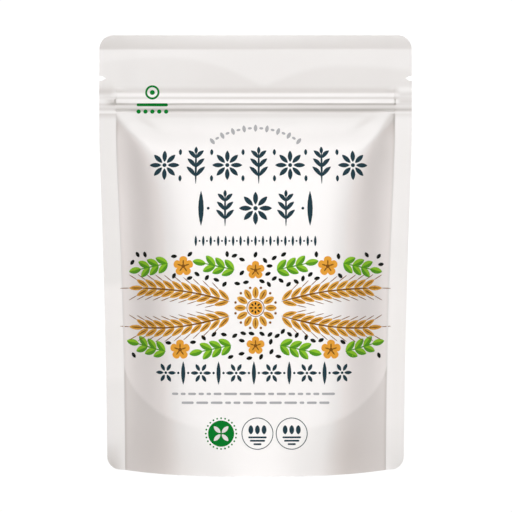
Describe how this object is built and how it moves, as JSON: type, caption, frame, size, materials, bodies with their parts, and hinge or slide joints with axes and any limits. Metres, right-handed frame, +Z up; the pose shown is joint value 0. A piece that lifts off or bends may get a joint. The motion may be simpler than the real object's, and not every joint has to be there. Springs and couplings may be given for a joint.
{
  "type": "stand-up pouch",
  "caption": "Filled, closed stand-up pouch of satin white film, with a press-to-close zip, tear notches, flat side seals and a gusseted base that it stands on.",
  "frame": {"origin": "middle of the pouch's outline, on the floor that it stands on", "axes": "+Z up along the pouch's height, the front panel faces -Y, +X is to the right as seen from the front"},
  "size_m": [0.2, 0.064, 0.278],
  "materials": {
    "film": "satin",
    "print": "satin ink on the film"
  },
  "bodies": {
    "root": {"pouch": "film"}
  },
  "joints": []
}
